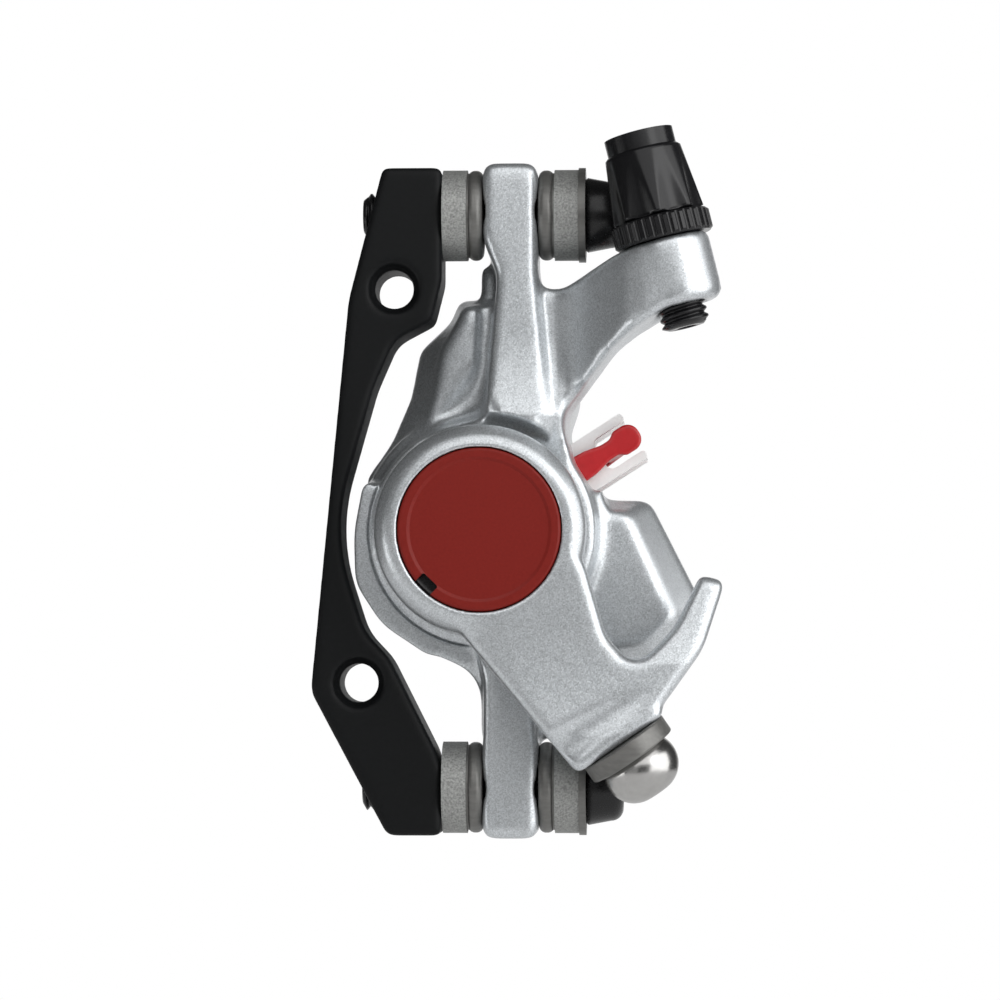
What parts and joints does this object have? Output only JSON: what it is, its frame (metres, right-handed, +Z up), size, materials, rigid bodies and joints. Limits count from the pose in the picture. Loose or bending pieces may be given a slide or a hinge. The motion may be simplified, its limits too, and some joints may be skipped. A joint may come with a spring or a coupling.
{
  "type": "mechanical disc brake caliper",
  "caption": "Cable-pulled disc brake caliper: cast body with lever arm and cable horn, barrel adjuster, spherical washer stacks and a frame bracket.",
  "frame": {"origin": "on the piston axis, midway between the two pads, in the plane of the brake disc", "axes": "+X away from the wheel hub, +Z up along the line of the two caliper bolts, +Y inboard, away from the lever arm"},
  "size_m": [0.0529, 0.0482, 0.091],
  "materials": {
    "silver_paint": "silver flake paint",
    "black_paint": "semi-gloss black",
    "black_steel": "black oxide",
    "grey_steel": "satin",
    "blasted_alloy": "bead blasted",
    "bronze": "sintered",
    "bright_steel": "polished",
    "pale_steel": "zinc plated",
    "friction": "sintered compound",
    "red_cap": "satin dull red",
    "red_plastic": "bright red",
    "black_plastic": "semi-gloss black"
  },
  "bodies": {
    "caliper": {"caliper_body": "silver_paint", "mount_bracket": "black_paint", "caliper_bolts": "black_steel", "bolt_flat_washers": "grey_steel", "concave_washers": "blasted_alloy", "convex_washers": "grey_steel", "shaft_bush": "bronze", "fixed_cam": "grey_steel", "pad_spacer": "red_plastic"},
    "outboard_pad": {"outboard_backing_plate": "pale_steel", "outboard_friction_pad": "friction"},
    "arm": {"lever_arm": "silver_paint", "drive_cam": "grey_steel", "pressure_foot": "grey_steel", "bearing_balls": "bright_steel", "return_spring": "bright_steel", "arm_bolt": "black_steel", "arm_bolt_washer": "grey_steel", "arm_cap": "red_cap", "anchor_washer": "grey_steel", "anchor_bolt": "bright_steel"},
    "inboard_pad": {"inboard_backing_plate": "pale_steel", "inboard_friction_pad": "friction"},
    "pad_adjuster": {"adjuster_screw": "grey_steel", "adjuster_knob": "red_cap"},
    "ferrule": {"housing_ferrule": "black_plastic"},
    "barrel": {"barrel_adjuster": "black_plastic"},
    "ring": {"lock_ring": "black_plastic"}
  },
  "joints": [
    {"name": "outboard_pad_slide", "type": "slide", "parent": "caliper", "child": "outboard_pad", "axis": [0, 1, 0], "range_m": [0, 0.0009]},
    {"name": "arm_pivot", "type": "hinge", "parent": "outboard_pad", "child": "arm", "pos_m": [0, 0, 0], "axis": [0, -1, 0], "range_deg": [0, 28], "stiffness_Nm_per_rad": 0.25, "springref_deg": -34.38},
    {"name": "inboard_pad_slide", "type": "slide", "parent": "caliper", "child": "inboard_pad", "axis": [0, 1, 0], "range_m": [-0.0004, 0.0004]},
    {"name": "adjuster_turn", "type": "hinge", "parent": "inboard_pad", "child": "pad_adjuster", "pos_m": [0, 0, 0], "axis": [0, -1, 0], "range_deg": [-144, 144]},
    {"name": "barrel_travel", "type": "slide", "parent": "caliper", "child": "ferrule", "axis": [-0.2419, 0, 0.9703], "range_m": [0, 0.003]},
    {"name": "barrel_turn", "type": "hinge", "parent": "ferrule", "child": "barrel", "pos_m": [0.02356, -0.0238, 0.0369], "axis": [-0.2419, 0, 0.9703], "range_deg": [0, 1080]},
    {"name": "ring_turn", "type": "hinge", "parent": "caliper", "child": "ring", "pos_m": [0.02356, -0.0238, 0.0369], "axis": [-0.2419, 0, 0.9703], "continuous": true}
  ],
  "couplings": [
    {"joint": "arm_pivot", "follows": "outboard_pad_slide", "rad_per_m": 542.9},
    {"joint": "adjuster_turn", "follows": "inboard_pad_slide", "rad_per_m": -6283},
    {"joint": "barrel_turn", "follows": "barrel_travel", "rad_per_m": 6283}
  ]
}
